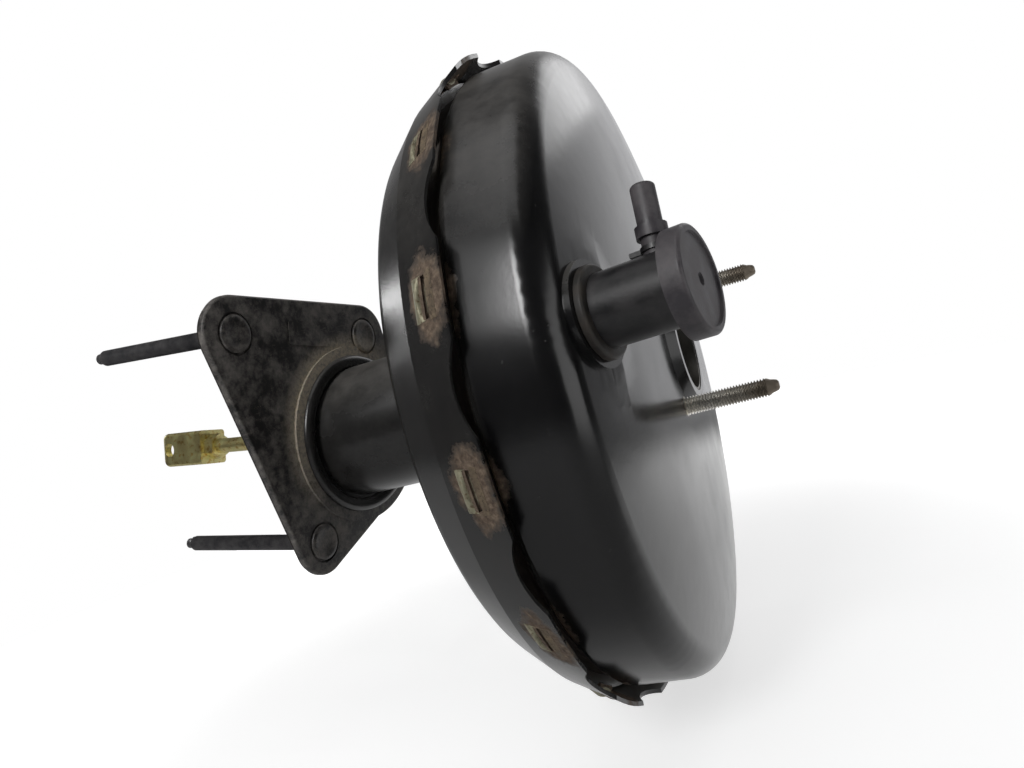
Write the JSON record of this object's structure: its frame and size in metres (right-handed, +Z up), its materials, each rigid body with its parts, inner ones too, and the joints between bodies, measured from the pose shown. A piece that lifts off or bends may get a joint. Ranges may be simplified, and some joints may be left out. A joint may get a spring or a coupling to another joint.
{
  "type": "brake booster",
  "caption": "Round vacuum brake booster in black pressed steel, with a long neck on a slanted three-stud bracket, an input rod with a clevis, and a capped vacuum port.",
  "frame": {"origin": "where the booster's axis crosses the face that bears on the bulkhead (rear face of the bracket's gasket)", "axes": "+X forward along the booster's axis, towards the master cylinder; +Z up; +Y to the left"},
  "size_m": [0.3619, 0.3, 0.3],
  "materials": {
    "black_enamel_steel": "satin",
    "dusty_bracket_steel": "satin, dusty",
    "black_oxide_steel": "satin",
    "zinc_plated_steel": "satin",
    "yellow_zinc_steel": "satin",
    "pressed_steel": "satin",
    "spring_steel": "satin",
    "gasket_fibre": "matt",
    "moulded_rubber": "matt",
    "black_nylon": "satin",
    "phenolic_resin": "satin",
    "filter_foam": "open cell",
    "filter_felt": "felt"
  },
  "bodies": {
    "housing": {"front_shell": "black_enamel_steel", "rear_shell": "black_enamel_steel", "bulkhead_bracket": "dusty_bracket_steel", "bracket_gasket": "gasket_fibre", "bulkhead_studs": "black_oxide_steel", "stud_plate": "pressed_steel", "master_cylinder_studs": "zinc_plated_steel", "hub_bearing": "black_nylon", "hub_seal": "moulded_rubber", "seal_retainer": "pressed_steel", "diaphragm": "moulded_rubber", "return_spring": "spring_steel", "dust_boot": "moulded_rubber", "port_grommet": "moulded_rubber", "port_body": "black_nylon", "port_cap": "black_nylon", "vacuum_nipple": "black_nylon", "nipple_clip": "black_nylon", "check_valve_seat": "black_nylon", "check_valve_spring": "spring_steel"},
    "power_piston": {"valve_body": "phenolic_resin", "plunger_key": "pressed_steel", "poppet_seal": "moulded_rubber", "poppet_spring": "spring_steel", "poppet_retainer": "pressed_steel", "rod_return_spring": "spring_steel", "air_filter": "filter_foam", "filter_silencer": "filter_felt", "filter_retainer": "black_nylon", "diaphragm_plate": "pressed_steel", "reaction_disc": "moulded_rubber", "output_rod": "zinc_plated_steel", "output_rod_screw": "zinc_plated_steel", "output_rod_retainer": "pressed_steel"},
    "valve_plunger": {"valve_plunger": "zinc_plated_steel"},
    "input_rod": {"input_rod": "yellow_zinc_steel", "clevis_nut": "yellow_zinc_steel", "clevis": "yellow_zinc_steel"},
    "check_valve_disc": {"check_valve_disc": "moulded_rubber"}
  },
  "joints": [
    {"name": "piston_stroke", "type": "slide", "parent": "housing", "child": "power_piston", "axis": [1, 0, 0], "range_m": [0, 0.032], "stiffness_N_per_m": 2500, "springref_m": -0.05, "deforming": ["return_spring", "diaphragm", "dust_boot"]},
    {"name": "plunger_travel", "type": "slide", "parent": "power_piston", "child": "valve_plunger", "axis": [1, 0, 0], "range_m": [0, 0.0015], "stiffness_N_per_m": 4000, "springref_m": -0.01, "deforming": ["rod_return_spring", "poppet_spring"]},
    {"name": "rod_swing", "type": "hinge", "parent": "valve_plunger", "child": "input_rod", "pos_m": [0, 0, 0], "axis": [0.1601, 0.967, -0.1981], "range_deg": [-3, 3], "stiffness_Nm_per_rad": 8},
    {"name": "check_valve_lift", "type": "slide", "parent": "housing", "child": "check_valve_disc", "axis": [0.9833, -0.1775, 0.0413], "range_m": [0, 0.0025], "stiffness_N_per_m": 200, "springref_m": -0.004, "deforming": ["check_valve_spring"]}
  ]
}
